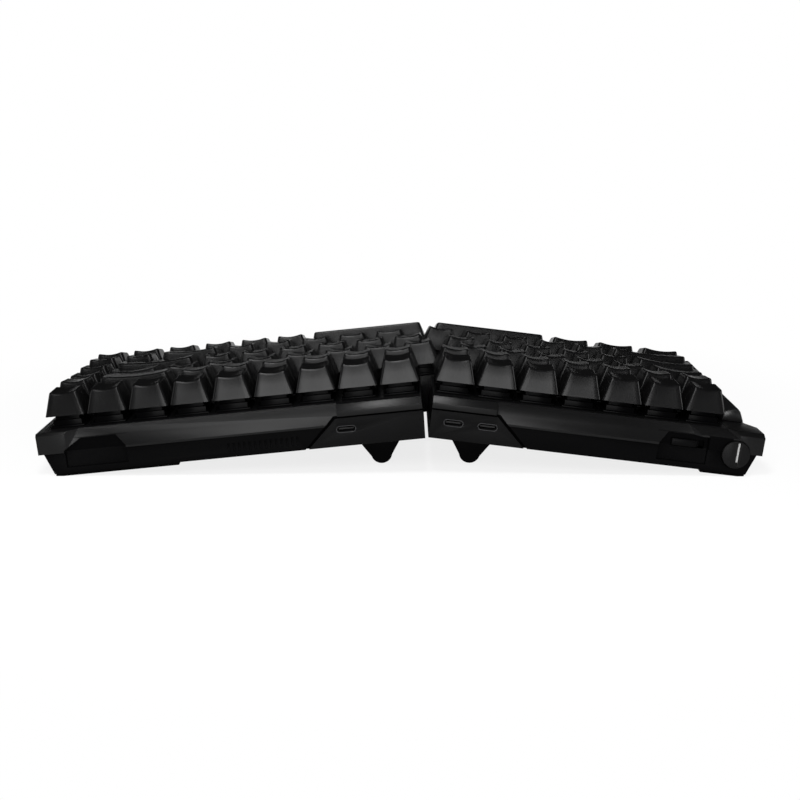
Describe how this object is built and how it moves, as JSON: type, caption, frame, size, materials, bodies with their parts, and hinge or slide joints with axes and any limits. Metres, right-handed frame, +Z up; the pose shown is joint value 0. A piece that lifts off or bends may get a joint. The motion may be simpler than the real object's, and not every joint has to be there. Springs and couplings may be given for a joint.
{
  "type": "split keyboard",
  "caption": "Tented split keyboard in two staggered halves with sculpted keys, fold-out feet, rear sockets, a dial and a mode switch.",
  "frame": {"origin": "on the desk, under the middle of the keyboard's bounding box", "axes": "+X to the typist's right, +Y away from the typist, +Z up"},
  "size_m": [0.3278, 0.1302, 0.054],
  "materials": {
    "case_grey": "fine matte dark grey",
    "case_dark": "fine matte black",
    "key_black": "smooth matte black",
    "switch_black": "satin black",
    "plate_black": "satin black paint",
    "board_black": "lacquered",
    "battery_foil": "foil pouch",
    "rubber_black": "matte",
    "foot_black": "matte black",
    "screw_steel": "plain",
    "socket_steel": "drawn shell",
    "control_grey": "matte dark grey"
  },
  "bodies": {
    "left_half": {"left_bottom_case": "case_dark", "left_top_case": "case_grey", "left_port_panel": "case_dark", "left_switch_plate": "plate_black", "left_circuit_board": "board_black", "left_switch_housings": "switch_black", "left_battery": "battery_foil", "left_rubber_feet": "rubber_black", "left_case_screws": "screw_steel", "left_tent_foot_pins": "screw_steel", "left_usb_sockets": "socket_steel", "left_side_rail": "case_grey"},
    "right_half": {"right_bottom_case": "case_dark", "right_top_case": "case_grey", "right_port_panel": "case_dark", "right_switch_plate": "plate_black", "right_circuit_board": "board_black", "right_switch_housings": "switch_black", "right_battery": "battery_foil", "right_rubber_feet": "rubber_black", "right_case_screws": "screw_steel", "right_tent_foot_pins": "screw_steel", "right_usb_socket": "socket_steel"},
    "left_rear_tent_foot": {"left_rear_tent_foot": "foot_black"},
    "left_front_tent_foot": {"left_front_tent_foot": "foot_black"},
    "right_rear_tent_foot": {"right_rear_tent_foot": "foot_black"},
    "right_front_tent_foot": {"right_front_tent_foot": "foot_black"},
    "control_dial": {"control_dial": "control_grey"},
    "mode_slider": {"mode_slider": "control_grey"},
    "esc_key": {"esc_key": "key_black"},
    "f1_to_f6_keys": {"f1_to_f6_keys": "key_black"},
    "left_number_keys": {"left_number_keys": "key_black"},
    "tab_key": {"tab_key": "key_black"},
    "left_upper_letter_keys": {"left_upper_letter_keys": "key_black"},
    "caps_lock_key": {"caps_lock_key": "key_black"},
    "left_home_letter_keys": {"left_home_letter_keys": "key_black"},
    "left_shift_key": {"left_shift_key": "key_black"},
    "left_lower_letter_keys": {"left_lower_letter_keys": "key_black"},
    "left_ctrl_key": {"left_ctrl_key": "key_black"},
    "left_system_key": {"left_system_key": "key_black"},
    "left_alt_key": {"left_alt_key": "key_black"},
    "left_space_key": {"left_space_key": "key_black"},
    "f7_to_f12_keys": {"f7_to_f12_keys": "key_black"},
    "right_number_keys": {"right_number_keys": "key_black"},
    "backspace_key": {"backspace_key": "key_black"},
    "right_upper_letter_keys": {"right_upper_letter_keys": "key_black"},
    "backslash_key": {"backslash_key": "key_black"},
    "right_home_letter_keys": {"right_home_letter_keys": "key_black"},
    "enter_key": {"enter_key": "key_black"},
    "right_lower_letter_keys": {"right_lower_letter_keys": "key_black"},
    "right_shift_key": {"right_shift_key": "key_black"},
    "up_key": {"up_key": "key_black"},
    "right_space_key": {"right_space_key": "key_black"},
    "right_alt_key": {"right_alt_key": "key_black"},
    "fn_key": {"fn_key": "key_black"},
    "right_ctrl_key": {"right_ctrl_key": "key_black"},
    "left_arrow_key": {"left_arrow_key": "key_black"},
    "down_key": {"down_key": "key_black"},
    "right_arrow_key": {"right_arrow_key": "key_black"},
    "navigation_keys": {"navigation_keys": "key_black"}
  },
  "joints": [
    {"name": "half_spread", "type": "slide", "parent": "left_half", "child": "right_half", "axis": [1, 0, 0], "range_m": [0, 0.2]},
    {"name": "left_rear_tent_foot_fold", "type": "hinge", "parent": "left_half", "child": "left_rear_tent_foot", "pos_m": [-0.03388, 0.03995, 0.0185], "axis": [-0.9926, 0, -0.1213], "range_deg": [0, 90]},
    {"name": "left_front_tent_foot_fold", "type": "hinge", "parent": "left_half", "child": "left_front_tent_foot", "pos_m": [-0.03388, -0.04255, 0.0185], "axis": [0.9926, 0, 0.1213], "range_deg": [0, 90]},
    {"name": "right_rear_tent_foot_fold", "type": "hinge", "parent": "right_half", "child": "right_rear_tent_foot", "pos_m": [0.01014, 0.03995, 0.01853], "axis": [-0.9949, 0, 0.1013], "range_deg": [0, 90]},
    {"name": "right_front_tent_foot_fold", "type": "hinge", "parent": "right_half", "child": "right_front_tent_foot", "pos_m": [0.01014, -0.04255, 0.01853], "axis": [0.9949, 0, -0.1013], "range_deg": [0, 90]},
    {"name": "control_dial_turn", "type": "hinge", "parent": "left_half", "child": "control_dial", "pos_m": [-0.15078, 0.0631, 0.01052], "axis": [-0.0042, 0.9994, 0.0346], "continuous": true},
    {"name": "mode_slider_slide", "type": "slide", "parent": "left_half", "child": "mode_slider", "axis": [-0.9926, 0, -0.1213], "range_m": [0, 0.0034]},
    {"name": "esc_key_press", "type": "slide", "parent": "left_half", "child": "esc_key", "axis": [0.1212, 0.0349, -0.992], "range_m": [0, 0.0036], "stiffness_N_per_m": 100, "springref_m": -0.004},
    {"name": "f1_to_f6_keys_press", "type": "slide", "parent": "left_half", "child": "f1_to_f6_keys", "axis": [0.1212, 0.0349, -0.992], "range_m": [0, 0.0036], "stiffness_N_per_m": 600, "springref_m": -0.004},
    {"name": "left_number_keys_press", "type": "slide", "parent": "left_half", "child": "left_number_keys", "axis": [0.1212, 0.0349, -0.992], "range_m": [0, 0.0036], "stiffness_N_per_m": 700, "springref_m": -0.004},
    {"name": "tab_key_press", "type": "slide", "parent": "left_half", "child": "tab_key", "axis": [0.1212, 0.0349, -0.992], "range_m": [0, 0.0036], "stiffness_N_per_m": 100, "springref_m": -0.004},
    {"name": "left_upper_letter_keys_press", "type": "slide", "parent": "left_half", "child": "left_upper_letter_keys", "axis": [0.1212, 0.0349, -0.992], "range_m": [0, 0.0036], "stiffness_N_per_m": 500, "springref_m": -0.004},
    {"name": "caps_lock_key_press", "type": "slide", "parent": "left_half", "child": "caps_lock_key", "axis": [0.1212, 0.0349, -0.992], "range_m": [0, 0.0036], "stiffness_N_per_m": 100, "springref_m": -0.004},
    {"name": "left_home_letter_keys_press", "type": "slide", "parent": "left_half", "child": "left_home_letter_keys", "axis": [0.1212, 0.0349, -0.992], "range_m": [0, 0.0036], "stiffness_N_per_m": 500, "springref_m": -0.004},
    {"name": "left_shift_key_press", "type": "slide", "parent": "left_half", "child": "left_shift_key", "axis": [0.1212, 0.0349, -0.992], "range_m": [0, 0.0036], "stiffness_N_per_m": 100, "springref_m": -0.004},
    {"name": "left_lower_letter_keys_press", "type": "slide", "parent": "left_half", "child": "left_lower_letter_keys", "axis": [0.1212, 0.0349, -0.992], "range_m": [0, 0.0036], "stiffness_N_per_m": 500, "springref_m": -0.004},
    {"name": "left_ctrl_key_press", "type": "slide", "parent": "left_half", "child": "left_ctrl_key", "axis": [0.1212, 0.0349, -0.992], "range_m": [0, 0.0036], "stiffness_N_per_m": 100, "springref_m": -0.004},
    {"name": "left_system_key_press", "type": "slide", "parent": "left_half", "child": "left_system_key", "axis": [0.1212, 0.0349, -0.992], "range_m": [0, 0.0036], "stiffness_N_per_m": 100, "springref_m": -0.004},
    {"name": "left_alt_key_press", "type": "slide", "parent": "left_half", "child": "left_alt_key", "axis": [0.1212, 0.0349, -0.992], "range_m": [0, 0.0036], "stiffness_N_per_m": 100, "springref_m": -0.004},
    {"name": "left_space_key_press", "type": "slide", "parent": "left_half", "child": "left_space_key", "axis": [0.1212, 0.0349, -0.992], "range_m": [0, 0.0036], "stiffness_N_per_m": 100, "springref_m": -0.004},
    {"name": "f7_to_f12_keys_press", "type": "slide", "parent": "right_half", "child": "f7_to_f12_keys", "axis": [-0.1012, 0.0349, -0.9943], "range_m": [0, 0.0036], "stiffness_N_per_m": 600, "springref_m": -0.004},
    {"name": "right_number_keys_press", "type": "slide", "parent": "right_half", "child": "right_number_keys", "axis": [-0.1012, 0.0349, -0.9943], "range_m": [0, 0.0036], "stiffness_N_per_m": 600, "springref_m": -0.004},
    {"name": "backspace_key_press", "type": "slide", "parent": "right_half", "child": "backspace_key", "axis": [-0.1012, 0.0349, -0.9943], "range_m": [0, 0.0036], "stiffness_N_per_m": 100, "springref_m": -0.004},
    {"name": "right_upper_letter_keys_press", "type": "slide", "parent": "right_half", "child": "right_upper_letter_keys", "axis": [-0.1012, 0.0349, -0.9943], "range_m": [0, 0.0036], "stiffness_N_per_m": 700, "springref_m": -0.004},
    {"name": "backslash_key_press", "type": "slide", "parent": "right_half", "child": "backslash_key", "axis": [-0.1012, 0.0349, -0.9943], "range_m": [0, 0.0036], "stiffness_N_per_m": 100, "springref_m": -0.004},
    {"name": "right_home_letter_keys_press", "type": "slide", "parent": "right_half", "child": "right_home_letter_keys", "axis": [-0.1012, 0.0349, -0.9943], "range_m": [0, 0.0036], "stiffness_N_per_m": 600, "springref_m": -0.004},
    {"name": "enter_key_press", "type": "slide", "parent": "right_half", "child": "enter_key", "axis": [-0.1012, 0.0349, -0.9943], "range_m": [0, 0.0036], "stiffness_N_per_m": 100, "springref_m": -0.004},
    {"name": "right_lower_letter_keys_press", "type": "slide", "parent": "right_half", "child": "right_lower_letter_keys", "axis": [-0.1012, 0.0349, -0.9943], "range_m": [0, 0.0036], "stiffness_N_per_m": 500, "springref_m": -0.004},
    {"name": "right_shift_key_press", "type": "slide", "parent": "right_half", "child": "right_shift_key", "axis": [-0.1012, 0.0349, -0.9943], "range_m": [0, 0.0036], "stiffness_N_per_m": 100, "springref_m": -0.004},
    {"name": "up_key_press", "type": "slide", "parent": "right_half", "child": "up_key", "axis": [-0.1012, 0.0349, -0.9943], "range_m": [0, 0.0036], "stiffness_N_per_m": 100, "springref_m": -0.004},
    {"name": "right_space_key_press", "type": "slide", "parent": "right_half", "child": "right_space_key", "axis": [-0.1012, 0.0349, -0.9943], "range_m": [0, 0.0036], "stiffness_N_per_m": 100, "springref_m": -0.004},
    {"name": "right_alt_key_press", "type": "slide", "parent": "right_half", "child": "right_alt_key", "axis": [-0.1012, 0.0349, -0.9943], "range_m": [0, 0.0036], "stiffness_N_per_m": 100, "springref_m": -0.004},
    {"name": "fn_key_press", "type": "slide", "parent": "right_half", "child": "fn_key", "axis": [-0.1012, 0.0349, -0.9943], "range_m": [0, 0.0036], "stiffness_N_per_m": 100, "springref_m": -0.004},
    {"name": "right_ctrl_key_press", "type": "slide", "parent": "right_half", "child": "right_ctrl_key", "axis": [-0.1012, 0.0349, -0.9943], "range_m": [0, 0.0036], "stiffness_N_per_m": 100, "springref_m": -0.004},
    {"name": "left_arrow_key_press", "type": "slide", "parent": "right_half", "child": "left_arrow_key", "axis": [-0.1012, 0.0349, -0.9943], "range_m": [0, 0.0036], "stiffness_N_per_m": 100, "springref_m": -0.004},
    {"name": "down_key_press", "type": "slide", "parent": "right_half", "child": "down_key", "axis": [-0.1012, 0.0349, -0.9943], "range_m": [0, 0.0036], "stiffness_N_per_m": 100, "springref_m": -0.004},
    {"name": "right_arrow_key_press", "type": "slide", "parent": "right_half", "child": "right_arrow_key", "axis": [-0.1012, 0.0349, -0.9943], "range_m": [0, 0.0036], "stiffness_N_per_m": 100, "springref_m": -0.004},
    {"name": "navigation_keys_press", "type": "slide", "parent": "right_half", "child": "navigation_keys", "axis": [-0.1012, 0.0349, -0.9943], "range_m": [0, 0.0036], "stiffness_N_per_m": 700, "springref_m": -0.004}
  ]
}
